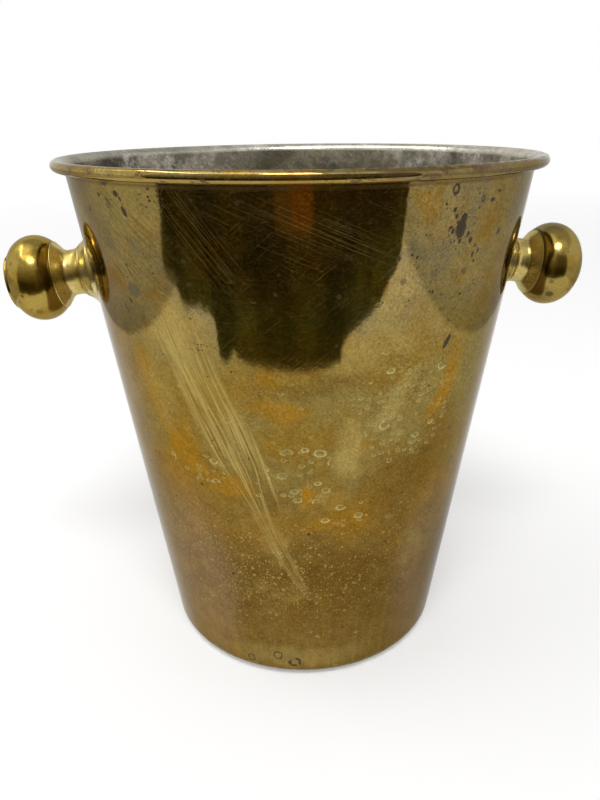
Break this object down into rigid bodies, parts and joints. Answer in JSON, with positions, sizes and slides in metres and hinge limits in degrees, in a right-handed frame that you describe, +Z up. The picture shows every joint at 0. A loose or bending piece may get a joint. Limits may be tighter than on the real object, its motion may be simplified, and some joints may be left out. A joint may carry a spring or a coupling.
{
  "type": "champagne bucket",
  "caption": "Tapered open bucket of aged brass with a silvered inside, a rolled rim and a turned ball handle on each side, for cooling a bottle in ice.",
  "frame": {"origin": "centre of the bucket at table height", "axes": "+Z up, +X through the right-hand handle, +Y away from the front"},
  "size_m": [0.2522, 0.2, 0.2213],
  "materials": {
    "shell_brass": "aged spun brass, polished long ago, patinated outside and silvered inside",
    "handle_brass": "turned and polished brass, lightly tarnished",
    "fixing_brass": "plain turned brass, dulled",
    "wire_steel": "drawn wire, hidden in the rim"
  },
  "bodies": {
    "root": {"bucket_shell": "shell_brass", "rim_wire": "wire_steel", "left_knob_collar": "handle_brass", "left_knob_stem": "handle_brass", "left_knob_ball": "handle_brass", "left_knob_end_button": "handle_brass", "left_knob_stud": "fixing_brass", "left_inner_washer": "fixing_brass", "left_cap_nut": "fixing_brass", "right_knob_collar": "handle_brass", "right_knob_stem": "handle_brass", "right_knob_ball": "handle_brass", "right_knob_end_button": "handle_brass", "right_knob_stud": "fixing_brass", "right_inner_washer": "fixing_brass", "right_cap_nut": "fixing_brass"}
  },
  "joints": []
}
